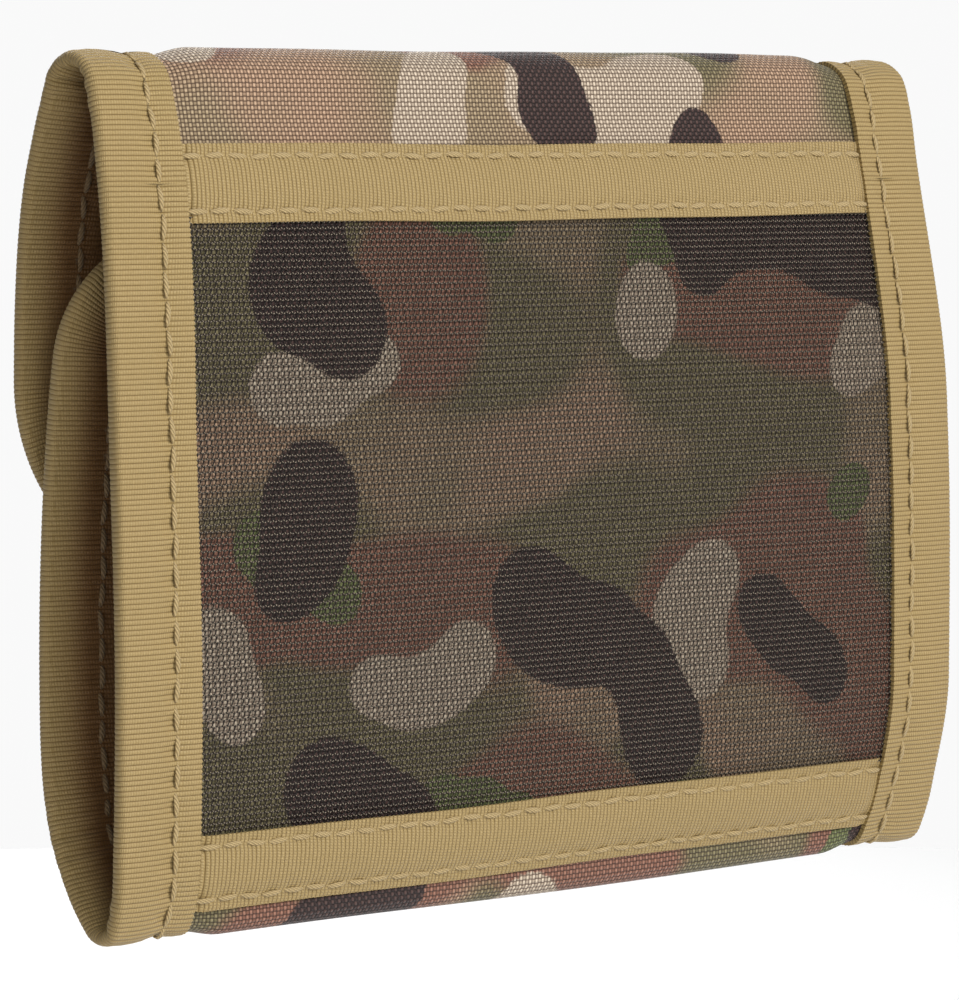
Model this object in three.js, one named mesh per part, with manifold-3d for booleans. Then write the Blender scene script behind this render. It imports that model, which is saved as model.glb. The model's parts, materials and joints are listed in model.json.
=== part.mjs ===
// Trifold wallet, closed and standing on its bottom fold.
// Millimetres, +Z up, +X across the width. The back panel with the mesh window faces -Y,
// the closing flap faces +Y. The origin is at the middle of the box, on the floor.
import * as THREE from 'three';
import { mergeVertices } from 'three/addons/utils/BufferGeometryUtils.js';
import Module from 'manifold-3d';

const wasm = await Module();
wasm.setup();

// ---------------------------------------------------------------- driving dimensions
const WIDTH = 130;              // across the wallet, over the side bindings
const BOW = 2.2;                // how far the back panel bulges outward half way across
const MID_DEPTH = 9.508;          // from the back outline's own zero to the middle of the box
const GAP = 0.3;                // between two layers that lie on each other
const CLOTH = 0.55;             // outer fabric
const STIFFENER = 0.8;          // foamed board between fabric and lining
const LINING = 0.4;
const BINDING = 0.5;            // grosgrain binding tape
const BINDING_WIDTH = 11;       // of binding seen on each face
const TAPE = 0.35;              // flat tapes above and below the window
const MESH = 0.2;               // sheer window mesh
const POCKET = 0.4;             // pocket fabric
const HOOK = 0.8;               // hook patch inside the flap
const LOOP = 1.7;               // loop patch on the front panel, with its pile
const FOLD_GAP = 0.35;          // from the end of a layer to the fold line it stops at
const FLAP_EDGE_HEIGHT = 40;    // free edge of the flap above the floor
const FLAP_CORNER = 23;
const FRONT_EDGE_HEIGHT = 77;   // free edge of the front panel above the floor
const FRONT_CORNER = 14;
const LOW_TAPE = [2.9, 11.8];   // heights of the window's lower tape
const HIGH_TAPE = [80.8, 89.8]; // and of its upper tape
const PATCH_HEIGHTS = [52, 65];
const PATCH_HALF = 35;
const POCKET_INSET = 3;         // the card pockets are this much narrower at each side
const POCKET_FOOT = 14;
const CARD_TOPS = { lower: 46, upper: 62 };
const DIVIDER_TOP = 79;
const TRIM = 5;                 // width of the tape along a pocket's mouth
const ZIP_HEIGHT = 34;
const COIN_TOP = 58;            // top edge of the coin pocket
const COIN_FOOT = 14;
const ZIP_HALF = 48;            // half the length of the coils
const SLIDER_HALF = 6;
const SLIDER_X = -36;           // slider at the closed end
const ROUND_STEPS = 5;

// Outline of the wallet's outside, seen from its left end, as [depth, height] points.
// It runs from the free edge of the front panel down, round the bottom fold, up the back,
// over the top fold and down to the free edge of the flap.
const FRONT_RUN = [[10.8, 77], [12.3, 70], [13.6, 63], [14.7, 55], [15.6, 46], [16.1, 37],
  [16.2, 28], [16, 20.5], [15.4, 15.4], [14.2, 11]];
const BOTTOM_RUN = [[12, 6.6], [9.2, 2.7], [6.1, 0.1], [2.7, 0.6]];
const BACK_RUN = [[0.9, 4.6], [0.4, 11], [0.1, 20], [0, 32], [0.2, 45], [0.7, 57],
  [1.2, 68], [2, 79], [3.1, 88], [4.2, 94.3], [5.9, 98.6]];
const TOP_RUN = [[9.6, 100.4], [13.4, 98.7]];
const FLAP_RUN = [[15.4, 94.6], [17, 90.3], [18.5, 85.5], [19.6, 79.5], [20.3, 72],
  [20.7, 62], [20.8, 50], [20.8, 40]];

// ---------------------------------------------------------------- the outline as a curve
const knots = [...FRONT_RUN, ...BOTTOM_RUN, ...BACK_RUN, ...TOP_RUN, ...FLAP_RUN];
const outline = new THREE.CatmullRomCurve3(
  knots.map(([y, z]) => new THREE.Vector3(0, y - MID_DEPTH, z)), false, 'centripetal');
const SAMPLES_PER_KNOT = 24;
const samples = outline.getPoints((knots.length - 1) * SAMPLES_PER_KNOT);
const travelled = [0];
for (let i = 1; i < samples.length; i++) {
  travelled.push(travelled[i - 1] + samples[i].distanceTo(samples[i - 1]));
}
const travelAtKnot = (index) => travelled[index * SAMPLES_PER_KNOT];

// Distances along the outline of the four fold lines and of both free edges.
const frontFold = travelAtKnot(FRONT_RUN.length - 1);
const bottomFold = travelAtKnot(FRONT_RUN.length + BOTTOM_RUN.length - 1);
const topFold = travelAtKnot(FRONT_RUN.length + BOTTOM_RUN.length + BACK_RUN.length - 1);
const flapFold = travelAtKnot(knots.length - 1 - FLAP_RUN.length);
const flapEnd = travelled[travelled.length - 1];

// The outline is faceted at shared stations, so that every layer on it has parallel facets.
// Each station has its point, the mitre that one unit of depth moves it by, and its distance.
const SHORT_SPAN = 6;           // spans shorter than this, in the folds, get a middle station
const stations = [];
for (let i = 0; i < samples.length; i += SAMPLES_PER_KNOT / 2) {
  const half = i % SAMPLES_PER_KNOT !== 0;
  const span = half && travelled[i + SAMPLES_PER_KNOT / 2] - travelled[i - SAMPLES_PER_KNOT / 2];
  if (!half || span < SHORT_SPAN) stations.push({ point: samples[i], distance: travelled[i] });
}
const facetNormal = (i) => {
  const along = stations[i + 1].point.clone().sub(stations[i].point).normalize();
  return new THREE.Vector3(0, -along.z, along.y);
};
stations.forEach((station, i) => {
  const before = facetNormal(Math.max(i - 1, 0));
  const after = facetNormal(Math.min(i, stations.length - 2));
  station.mitre = before.clone().add(after).divideScalar(1 + before.dot(after));
});

// Point, tangent and outward mitre at a distance along it; straight beyond its ends.
function frameAt(distance) {
  let i = 1;
  while (i < stations.length - 1 && stations[i].distance < distance) i++;
  const [one, two] = [stations[i - 1], stations[i]];
  const part = (distance - one.distance) / (two.distance - one.distance);
  const clamped = THREE.MathUtils.clamp(part, 0, 1);
  return {
    point: one.point.clone().lerp(two.point, part),
    tangent: two.point.clone().sub(one.point).normalize(),
    normal: one.mitre.clone().lerp(two.mitre, clamped),
  };
}

// The ends of a stretch and the stations between them.
function stops(from, to) {
  const margin = 0.05;
  return [from, ...stations.map((station) => station.distance)
    .filter((distance) => distance > from + margin && distance < to - margin), to];
}

// Distance along the outline where a run passes a given height.
function distanceAtHeight(height, from, to) {
  let [low, high] = [from, to];
  const rising = frameAt(to).point.z > frameAt(from).point.z;
  for (let i = 0; i < 40; i++) {
    const middle = (low + high) / 2;
    if ((frameAt(middle).point.z < height) === rising) low = middle;
    else high = middle;
  }
  return (low + high) / 2;
}
const onBack = (height) => distanceAtHeight(height, bottomFold, topFold);
const onFront = (height) => distanceAtHeight(height, 0, frontFold);
const onFlap = (height) => distanceAtHeight(height, flapFold, flapEnd);

// The back bulges outward half way across, and is straight again at both folds. The bulge is
// faceted too: straight between lines across the panel and between the stations.
const COLUMNS = [-65, -54, -36, -18, 0, 18, 36, 54, 65];
const bulge = (x) => 1 - (x / (WIDTH / 2)) ** 2;
const fade = (distance) => THREE.MathUtils.smoothstep(distance, bottomFold, onBack(12))
  * (1 - THREE.MathUtils.smoothstep(distance, onBack(84), topFold));
stations.forEach((station) => { station.fade = fade(station.distance); });
function bowAt(x, distance) {
  let i = 1;
  while (i < stations.length - 1 && stations[i].distance < distance) i++;
  const [one, two] = [stations[i - 1], stations[i]];
  const along = (distance - one.distance) / (two.distance - one.distance);
  let j = 1;
  while (j < COLUMNS.length - 1 && COLUMNS[j] < x) j++;
  const across = (x - COLUMNS[j - 1]) / (COLUMNS[j] - COLUMNS[j - 1]);
  return BOW * THREE.MathUtils.lerp(one.fade, two.fade, THREE.MathUtils.clamp(along, 0, 1))
    * THREE.MathUtils.lerp(bulge(COLUMNS[j - 1]), bulge(COLUMNS[j]), across);
}

// ---------------------------------------------------------------- making layers
// A section is an outline in [x, depth], depth measured inward from the wallet's outside.
// It is carried along the outline of the wallet from one distance to another. The flat shape
// is arched first, so that its end faces are cut into triangles that suit the bulge.
const ARCH = 20;
function layer(section, from, to, place = frameAt) {
  const shape = new THREE.Shape(
    section.map(([x, depth]) => new THREE.Vector2(x, depth - ARCH * bulge(x))));
  const distances = place === frameAt ? stops(from, to) : [from, to];
  const steps = distances.length - 1;
  const geometry = new THREE.ExtrudeGeometry(shape, { depth: 1, steps, bevelEnabled: false });
  const position = geometry.attributes.position;
  for (let i = 0; i < position.count; i++) {
    const x = position.getX(i);
    const distance = distances[Math.round(position.getZ(i) * steps)];
    const { point, normal } = place(distance);
    point.addScaledVector(normal, -(position.getY(i) + ARCH * bulge(x)));
    if (place === frameAt) point.y -= bowAt(x, distance);
    position.setXYZ(i, x, point.y, point.z);
  }
  return geometry;
}

// A flat strip's section; a bowed one has a point on each column it crosses.
function strip(half, top, thickness, bowed = false) {
  const columns = bowed ? COLUMNS.filter((x) => Math.abs(x) < half) : [];
  const across = [-half, ...columns, half];
  return [...across.map((x) => [x, top]), ...across.reverse().map((x) => [x, top + thickness])];
}
const box = (x0, x1, d0, d1) => [[x0, d0], [x1, d0], [x1, d1], [x0, d1]];

// Section of a binding folded round a side edge: outer leg, edge and inner leg.
function bindingSection(side, total) {
  const edge = WIDTH / 2;
  const inner = edge - BINDING_WIDTH;
  const points = [[inner, 0], [edge, 0], [edge, total], [inner + 1, total],
    [inner + 1, total - BINDING], [edge - BINDING, total - BINDING], [edge - BINDING, BINDING],
    [inner, BINDING]];
  return side > 0 ? points : points.map(([x, d]) => [-x, d]).reverse();
}

function toManifold(geometry) {
  const bare = geometry.clone();
  bare.deleteAttribute('normal');
  bare.deleteAttribute('uv');
  const merged = mergeVertices(bare, 1e-4);
  return new wasm.Manifold(new wasm.Mesh({
    numProp: 3,
    vertProperties: new Float32Array(merged.attributes.position.array),
    triVerts: new Uint32Array(merged.index.array),
  }));
}

function toGeometry(solid) {
  const mesh = solid.getMesh();
  const geometry = new THREE.BufferGeometry();
  geometry.setAttribute('position', new THREE.BufferAttribute(mesh.vertProperties, 3));
  geometry.setIndex(new THREE.BufferAttribute(mesh.triVerts, 1));
  return geometry;
}

// A prism right through the wallet, as seen from the front, with two rounded corners at a
// free edge. The edge is the top of the front panel or the bottom of the flap.
function roundedPrism(half, edgeHeight, radius, direction) {
  const far = edgeHeight - direction * 120;
  const shape = new THREE.Shape();
  shape.moveTo(-half, far);
  const corner = (side) => {
    for (let i = 0; i <= ROUND_STEPS; i++) {
      const turn = (i / ROUND_STEPS) * (Math.PI / 2);
      const [sine, cosine] = side < 0
        ? [Math.sin(turn), Math.cos(turn)] : [Math.cos(turn), Math.sin(turn)];
      shape.lineTo(side * (half - radius + radius * cosine),
        edgeHeight - direction * radius * (1 - sine));
    }
  };
  corner(-1);
  corner(1);
  shape.lineTo(half, far);
  const geometry = new THREE.ExtrudeGeometry(shape, { depth: 80, bevelEnabled: false });
  geometry.rotateX(Math.PI / 2).translate(0, 40, 0);
  return geometry;
}

// ---------------------------------------------------------------- materials
const finish = (color, roughness, metalness = 0) =>
  new THREE.MeshStandardMaterial({ color, roughness, metalness });
const finishes = {
  printed: () => finish(0xa08f6c, 0.75),
  binding: () => finish(0xb09c62, 0.7),
  tape: () => finish(0xb4a066, 0.65),
  mesh: () => finish(0x4a4233, 0.6),
  board: () => finish(0x2b2b2a, 0.9),
  lining: () => finish(0x8d7d55, 0.8),
  hook: () => finish(0x97875a, 0.85),
  loop: () => finish(0x9c8c5f, 0.95),
  coil: () => finish(0x6f6544, 0.5),
  metal: () => finish(0x55503f, 0.4, 0.9),
};

const wallet = new THREE.Group();
function add(name, geometry, material, group = wallet) {
  const mesh = new THREE.Mesh(geometry, finishes[material]());
  mesh.name = name;
  group.add(mesh);
  return mesh;
}

// ---------------------------------------------------------------- back panel
const HALF = WIDTH / 2;
const INSIDE_HALF = HALF - BINDING - GAP;          // layers that run under the bindings
const CLEAR_HALF = HALF - BINDING_WIDTH - GAP;     // layers that stop beside them
const backDepth = { tape: 0 };
backDepth.mesh = backDepth.tape + TAPE + GAP;
backDepth.shell = backDepth.mesh + MESH + GAP;
backDepth.stiffener = backDepth.shell + CLOTH + GAP;
backDepth.lining = backDepth.stiffener + STIFFENER + GAP;
backDepth.divider = backDepth.lining + LINING + GAP;
backDepth.upperPocket = backDepth.divider + POCKET + GAP;
backDepth.lowerPocket = backDepth.upperPocket + POCKET + GAP;
const backTotal = backDepth.lining + LINING + GAP + BINDING;
const backStart = bottomFold + FOLD_GAP;
const backStop = topFold - FOLD_GAP;

function backLayer(name, material, half, depth, thickness, from, to) {
  add(name, layer(strip(half, depth, thickness, true), from, to), material);
}
const BOARD_INSET = 7;          // the board stops short of each fold
backLayer('back_shell', 'printed', INSIDE_HALF, backDepth.shell, CLOTH, backStart, backStop);
backLayer('back_stiffener', 'board', INSIDE_HALF, backDepth.stiffener, STIFFENER,
  bottomFold + BOARD_INSET, topFold - BOARD_INSET);
backLayer('back_lining', 'lining', INSIDE_HALF, backDepth.lining, LINING,
  bottomFold + BOARD_INSET / 2, topFold - BOARD_INSET / 2);
backLayer('window_mesh', 'mesh', CLEAR_HALF, backDepth.mesh, MESH,
  onBack(LOW_TAPE[0] + 1), onBack(HIGH_TAPE[1] - 1));
backLayer('window_tape_bottom', 'tape', CLEAR_HALF, backDepth.tape, TAPE,
  onBack(LOW_TAPE[0]), onBack(LOW_TAPE[1]));
backLayer('window_tape_top', 'tape', CLEAR_HALF, backDepth.tape, TAPE,
  onBack(HIGH_TAPE[0]), onBack(HIGH_TAPE[1]));
for (const [name, side] of [['left', -1], ['right', 1]]) {
  add(`back_binding_${name}`, layer(bindingSection(side, backTotal), backStart, backStop),
    'binding');
}
backLayer('note_divider', 'lining', CLEAR_HALF, backDepth.divider, POCKET,
  onBack(POCKET_FOOT), onBack(DIVIDER_TOP));
for (const [name, top] of Object.entries(CARD_TOPS)) {
  const depth = backDepth[`${name}Pocket`];
  backLayer(`card_pocket_${name}`, 'lining', CLEAR_HALF - POCKET_INSET, depth, POCKET,
    onBack(POCKET_FOOT), onBack(top));
  backLayer(`card_pocket_${name}_tape`, 'tape', CLEAR_HALF - POCKET_INSET, depth + POCKET + GAP, TAPE,
    onBack(top - TRIM), onBack(top));
}

// ---------------------------------------------------------------- top and bottom spines
const spineShell = backDepth.shell;
const spineLining = spineShell + CLOTH + GAP;
const spineTotal = spineLining + LINING + GAP + BINDING;
for (const [body, from, to] of [['top_spine', topFold, flapFold],
  ['bottom_spine', frontFold, bottomFold]]) {
  const [start, stop] = [from + FOLD_GAP, to - FOLD_GAP];
  add(`${body}_shell`, layer(strip(INSIDE_HALF, spineShell, CLOTH), start, stop), 'printed');
  add(`${body}_lining`, layer(strip(INSIDE_HALF, spineLining, LINING), start, stop), 'lining');
  for (const [name, side] of [['left', -1], ['right', 1]]) {
    add(`${body}_binding_${name}`, layer(bindingSection(side, spineTotal), start, stop), 'binding');
  }
}

// ---------------------------------------------------------------- flap and front panel
const panelDepth = { shell: BINDING + GAP };
panelDepth.stiffener = panelDepth.shell + CLOTH + GAP;
panelDepth.lining = panelDepth.stiffener + STIFFENER + GAP;
const panelTotal = panelDepth.lining + LINING + GAP + BINDING;
const PAST_EDGE = 6;            // layers run past the free edge, and the prism trims them

// One panel that ends in a free edge with two rounded corners, bound on three sides.
function roundedPanel({ name, foldAt, foldSide, from, to, edgeHeight, radius, direction }) {
  const prism = (inset) => toManifold(
    roundedPrism(HALF - inset, edgeHeight - direction * inset, radius - inset, direction));
  const inside = prism(BINDING + GAP);
  const cut = (depth, thickness, foldInset) => {
    const range = foldSide === 'start'
      ? [foldAt + foldInset, to + PAST_EDGE] : [from - PAST_EDGE, foldAt - foldInset];
    const sheet = toManifold(layer(strip(HALF + 1, depth, thickness), ...range));
    return sheet.intersect(inside);
  };
  add(`${name}_shell`, toGeometry(cut(panelDepth.shell, CLOTH, FOLD_GAP)), 'printed');
  add(`${name}_stiffener`, toGeometry(cut(panelDepth.stiffener, STIFFENER, BOARD_INSET)), 'board');
  add(`${name}_lining`, toGeometry(cut(panelDepth.lining, LINING, BOARD_INSET / 2)), 'lining');

  const [start, stop] = foldSide === 'start'
    ? [foldAt + FOLD_GAP, to + PAST_EDGE] : [from - PAST_EDGE, foldAt - FOLD_GAP];
  const body = toManifold(layer(strip(HALF + 1, 0, panelTotal), start, stop));
  const slotStart = foldSide === 'start' ? start - PAST_EDGE : start;
  const slotStop = foldSide === 'start' ? stop : stop + PAST_EDGE;
  const slot = toManifold(layer(strip(HALF + 1, BINDING, panelTotal - 2 * BINDING),
    slotStart, slotStop)).intersect(prism(BINDING));
  add(`${name}_binding`, toGeometry(
    body.intersect(prism(0)).subtract(prism(BINDING_WIDTH)).subtract(slot)), 'binding');
}
roundedPanel({ name: 'flap', foldAt: flapFold, foldSide: 'start', from: flapFold, to: flapEnd,
  edgeHeight: FLAP_EDGE_HEIGHT, radius: FLAP_CORNER, direction: -1 });
roundedPanel({ name: 'front', foldAt: frontFold, foldSide: 'end', from: 0, to: frontFold,
  edgeHeight: FRONT_EDGE_HEIGHT, radius: FRONT_CORNER, direction: 1 });

// Hook patch inside the flap, loop patch outside the front panel.
add('hook_patch', layer(strip(PATCH_HALF, panelDepth.lining + LINING + GAP, HOOK),
  onFlap(PATCH_HEIGHTS[1]), onFlap(PATCH_HEIGHTS[0])), 'hook');
add('loop_patch', layer(strip(PATCH_HALF, panelDepth.shell - GAP - LOOP, LOOP),
  onFront(PATCH_HEIGHTS[1]), onFront(PATCH_HEIGHTS[0])), 'loop');

// ---------------------------------------------------------------- coin pocket and its zip
const COIL = 1.4;               // thickness of a coil, and its width
const COIL_SPLIT = 0.6;         // half the slit the slider's post runs in
const PLATE = 0.6;              // slider plates
const PLATE_CLEAR = 0.3;
const ZIP_TAPE = 0.5;
const TAPE_EDGE = 8;            // half the width of the whole zip
const STOP = 1.8;               // length of an end stop
const POCKET_EDGE = 4.6;        // from the zip line to the pocket fabric
const zipLine = onFront(ZIP_HEIGHT);
const zipDepth = panelDepth.lining + LINING + GAP + PLATE + PLATE_CLEAR + COIL / 2 + GAP / 3;
const zipFrame = frameAt(zipLine);

// A sheet that stands off the lining over the zip and comes down to it at both sides.
const coinNear = panelDepth.lining + LINING + GAP;
const coinFar = zipDepth + ZIP_TAPE / 2 + GAP;
const COIN_SLOPE = 3.1;         // width of the slope at each side
const coinSection = (() => {
  const foot = CLEAR_HALF - POCKET;
  const right = [[foot - COIN_SLOPE, coinFar], [foot, coinNear], [CLEAR_HALF, coinNear],
    [CLEAR_HALF, coinNear + POCKET], [foot - COIN_SLOPE + GAP, coinFar + POCKET]];
  return [...right, ...right.map(([x, d]) => [-x, d]).reverse()];
})();
add('coin_pocket_upper', layer(coinSection, onFront(COIN_TOP), zipLine - POCKET_EDGE), 'lining');
add('coin_pocket_lower', layer(coinSection, zipLine + POCKET_EDGE, onFront(COIN_FOOT)), 'lining');

for (const [name, side] of [['upper', -1], ['lower', 1]]) {
  const range = (near, far) => (side > 0
    ? [zipLine + near, zipLine + far] : [zipLine - far, zipLine - near]);
  const coilFar = COIL_SPLIT + COIL;
  add(`zip_coil_${name}`, layer(strip(ZIP_HALF, zipDepth - COIL / 2, COIL),
    ...range(COIL_SPLIT, coilFar)), 'coil');
  add(`zip_tape_${name}`, layer(strip(ZIP_HALF + 1, zipDepth - ZIP_TAPE / 2, ZIP_TAPE),
    ...range(coilFar + GAP, TAPE_EDGE)), 'tape');
}
for (const [name, side] of [['closed', -1], ['open', 1]]) {
  const near = ZIP_HALF + GAP;
  const [x0, x1] = side > 0 ? [near, near + STOP] : [-near - STOP, -near];
  add(`zip_stop_${name}`, layer(box(x0, x1, zipDepth - COIL / 2, zipDepth + COIL / 2),
    zipLine - COIL_SPLIT - COIL, zipLine + COIL_SPLIT + COIL), 'metal');
}

// The slider and its pull are straight, so they are built on the flat plane of the zip.
const flat = (distance) => ({
  point: zipFrame.point.clone().addScaledVector(zipFrame.tangent, distance),
  normal: zipFrame.normal,
});
const block = (x0, x1, d0, d1, s0, s1) => toManifold(
  layer(box(SLIDER_X + x0, SLIDER_X + x1, zipDepth + d0, zipDepth + d1), s0, s1, flat));
const JOIN = 0.1;               // how far joined blocks run into each other
const plateNear = COIL / 2 + PLATE_CLEAR;
const plateFar = plateNear + PLATE;
const SLIDER_SIDE = 4;
const LIP = 0.8;                // width of the lips along the plates' sides
const LIP_NEAR = 0.55;          // from the zip's plane to a lip, clear of the tape
const POST = [1.6, 0.3];        // length and half width of the post between the plates
let slider = block(-SLIDER_HALF, -SLIDER_HALF + POST[0], -plateNear - JOIN, plateNear + JOIN,
  -POST[1], POST[1]);
for (const face of [-1, 1]) {
  const span = (near, far) => (face > 0 ? [near, far] : [-far, -near]);
  slider = slider.add(block(-SLIDER_HALF, SLIDER_HALF, ...span(plateNear, plateFar),
    -SLIDER_SIDE, SLIDER_SIDE));
  for (const edge of [[-SLIDER_SIDE, -SLIDER_SIDE + LIP], [SLIDER_SIDE - LIP, SLIDER_SIDE]]) {
    slider = slider.add(
      block(-SLIDER_HALF, SLIDER_HALF, ...span(LIP_NEAR, plateNear + JOIN), ...edge));
  }
}
// The bail is the little arch that holds the pull's cross bar.
const PIN_X = -2;               // pull hinge, from the middle of the slider
const PIN_CLEAR = 0.7;          // from the hinge to the plate, and to the bail over it
const BAIL = { from: -4.5, to: 1.5, thick: 0.6, leg: 0.8, half: 0.6 };
const pinDepth = plateFar + PIN_CLEAR;
const bailFar = pinDepth + PIN_CLEAR + BAIL.thick;
slider = slider
  .add(block(BAIL.from, BAIL.to, bailFar - BAIL.thick, bailFar, -BAIL.half, BAIL.half))
  .add(block(BAIL.from, BAIL.from + BAIL.leg, plateFar - JOIN, bailFar, -BAIL.half, BAIL.half))
  .add(block(BAIL.to - BAIL.leg, BAIL.to, plateFar - JOIN, bailFar, -BAIL.half, BAIL.half));
add('zip_slider', toGeometry(slider), 'metal');

// The pull: a cross bar under the bail, two arms, a tab and a slot near its end.
const PULL = { half: 2.2, thick: 0.8, length: 16, bar: 0.8, arms: 5, armInside: 1.2 };
const SLOT = { from: 10.5, to: 14, half: 1.1 };
const through = [pinDepth - PULL.thick, pinDepth + PULL.thick];
const pull = block(PIN_X - PULL.bar / 2, PIN_X + PULL.length,
  pinDepth - PULL.thick / 2, pinDepth + PULL.thick / 2, -PULL.half, PULL.half)
  .subtract(block(PIN_X + PULL.bar / 2, PIN_X + PULL.arms, ...through,
    -PULL.armInside, PULL.armInside))
  .subtract(block(PIN_X + SLOT.from, PIN_X + SLOT.to, ...through, -SLOT.half, SLOT.half));
add('zip_pull', toGeometry(pull), 'metal');

export default wallet;
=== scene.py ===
# A closed trifold wallet of printed fabric, bound with grosgrain tape, with a sheer mesh
# window on its back. Metres, +Z up. Every layer is cut flat and laid on the wallet's outline.
import json
import math

import bpy
import numpy as np
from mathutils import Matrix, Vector


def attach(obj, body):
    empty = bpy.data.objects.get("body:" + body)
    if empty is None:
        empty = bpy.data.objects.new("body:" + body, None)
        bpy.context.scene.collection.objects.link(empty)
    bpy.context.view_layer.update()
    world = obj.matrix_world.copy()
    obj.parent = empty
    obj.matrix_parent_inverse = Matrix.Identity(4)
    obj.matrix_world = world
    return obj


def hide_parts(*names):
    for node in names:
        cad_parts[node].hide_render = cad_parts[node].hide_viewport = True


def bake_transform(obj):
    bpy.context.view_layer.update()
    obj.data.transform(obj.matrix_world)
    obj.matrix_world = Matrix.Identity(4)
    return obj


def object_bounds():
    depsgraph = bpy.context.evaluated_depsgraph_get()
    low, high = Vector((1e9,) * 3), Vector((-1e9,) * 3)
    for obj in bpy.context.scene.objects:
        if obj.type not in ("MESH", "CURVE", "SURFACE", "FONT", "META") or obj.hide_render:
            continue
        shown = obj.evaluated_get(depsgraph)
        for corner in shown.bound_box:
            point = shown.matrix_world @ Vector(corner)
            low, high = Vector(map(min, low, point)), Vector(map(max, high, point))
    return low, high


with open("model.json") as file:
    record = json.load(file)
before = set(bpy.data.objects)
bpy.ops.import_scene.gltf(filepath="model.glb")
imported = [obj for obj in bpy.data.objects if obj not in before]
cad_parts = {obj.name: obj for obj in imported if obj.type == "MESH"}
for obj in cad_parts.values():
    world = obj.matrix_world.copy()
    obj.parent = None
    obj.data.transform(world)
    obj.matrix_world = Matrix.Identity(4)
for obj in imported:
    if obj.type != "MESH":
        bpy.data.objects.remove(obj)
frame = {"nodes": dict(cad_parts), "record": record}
CAD_LOW, CAD_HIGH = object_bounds()
MM = 0.001
WIDTH = CAD_HIGH.x - CAD_LOW.x
HALF = WIDTH / 2

# The cloths and tapes.
BINDING_SEEN = 11 * MM          # of the folded tape, on the outside
CLOTH = 0.55 * MM
LINING = 0.4 * MM
BINDING_STITCH = 7.6 * MM       # stitch row, from the bound edge
FLAP_CORNER = 23 * MM
FRONT_CORNER = 14 * MM
RIB = 0.58 * MM                 # one rib of the grosgrain
BEAD = 0.34 * MM                # one crossing of its ribs
STITCH_PITCH = 3.2 * MM
WEAVE = 0.5 * MM                # one thread of the printed fabric
MESH_PITCH = 0.74 * MM          # one thread of the window mesh


# ---------------------------------------------------------------- the wallet's outline
# Its outside seen from the left end, as [depth, height] points in millimetres: from the
# free edge of the front panel down, round the bottom fold, up the back, over the top fold
# and down to the free edge of the flap.
FRONT_RUN = [[10.8, 77], [12.3, 70], [13.6, 63], [14.7, 55], [15.6, 46], [16.1, 37],
             [16.2, 28], [16, 20.5], [15.4, 15.4], [14.2, 11]]
BOTTOM_RUN = [[12, 6.6], [9.2, 2.7], [6.1, 0.1], [2.7, 0.6]]
BACK_RUN = [[0.9, 4.6], [0.4, 11], [0.1, 20], [0, 32], [0.2, 45], [0.7, 57],
            [1.2, 68], [2, 79], [3.1, 88], [4.2, 94.3], [5.9, 98.6]]
TOP_RUN = [[9.6, 100.4], [13.4, 98.7]]
FLAP_RUN = [[15.4, 94.6], [17, 90.3], [18.5, 85.5], [19.6, 79.5], [20.3, 72],
            [20.7, 62], [20.8, 50], [20.8, 40]]


def smooth_outline(points, per_span=60):
    """A centripetal curve through the points, as dense points along it."""
    ends = [2 * points[0] - points[1]], [2 * points[-1] - points[-2]]
    padded = np.concatenate([ends[0], points, ends[1]])
    out = []
    for p0, p1, p2, p3 in zip(padded, padded[1:], padded[2:], padded[3:]):
        d0, d1, d2 = (max(np.linalg.norm(b - a), 1e-9) ** 0.5
                      for a, b in ((p0, p1), (p1, p2), (p2, p3)))
        t1 = ((p1 - p0) / d0 - (p2 - p0) / (d0 + d1) + (p2 - p1) / d1) * d1
        t2 = ((p2 - p1) / d1 - (p3 - p1) / (d1 + d2) + (p3 - p2) / d2) * d1
        t = np.linspace(0, 1, per_span, endpoint=False)[:, None]
        out.append(p1 + t1 * t + (3 * (p2 - p1) - 2 * t1 - t2) * t**2
                   + (2 * (p1 - p2) + t1 + t2) * t**3)
    return np.concatenate([*out, points[-1:]])


knots = np.array(FRONT_RUN + BOTTOM_RUN + BACK_RUN + TOP_RUN + FLAP_RUN) * MM
knots[:, 0] += CAD_HIGH.y - knots[:, 0].max()
curve = smooth_outline(knots)
travel = np.concatenate([[0], np.cumsum(np.linalg.norm(np.diff(curve, axis=0), axis=1))])
tangents = np.gradient(curve, travel, axis=0)
tangents /= np.linalg.norm(tangents, axis=1)[:, None]
END = travel[-1]


def nearest(y, z):
    return travel[np.argmin((curve[:, 0] - y) ** 2 + (curve[:, 1] - z) ** 2)]


def fold(name):
    place = next(j for j in frame["record"]["behaviour"]["joints"] if j["name"] == name)
    return nearest(*place["pos_m"][1:])


FRONT_FOLD, BOTTOM_FOLD = fold("bottom_fold_front"), fold("bottom_fold_back")
TOP_FOLD, FLAP_FOLD = fold("top_fold_back"), fold("top_fold_flap")
MID_BOTTOM = (FRONT_FOLD + BOTTOM_FOLD) / 2
MID_BACK = (BOTTOM_FOLD + TOP_FOLD) / 2
MID_TOP = (TOP_FOLD + FLAP_FOLD) / 2


def on_run(height, start, stop):
    """Distance along the outline where one run of it passes a height."""
    part = (travel >= start) & (travel <= stop)
    order = np.argsort(curve[part, 1])
    return float(np.interp(height, curve[part, 1][order], travel[part][order]))


def on_back(height):
    return on_run(height, BOTTOM_FOLD, TOP_FOLD)


def on_front(height):
    return on_run(height, 0, FRONT_FOLD)


def on_flap(height):
    return on_run(height, FLAP_FOLD, END)


def ease(x, low, high):
    t = np.clip((x - low) / (high - low), 0, 1)
    return t * t * (3 - 2 * t)


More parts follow.
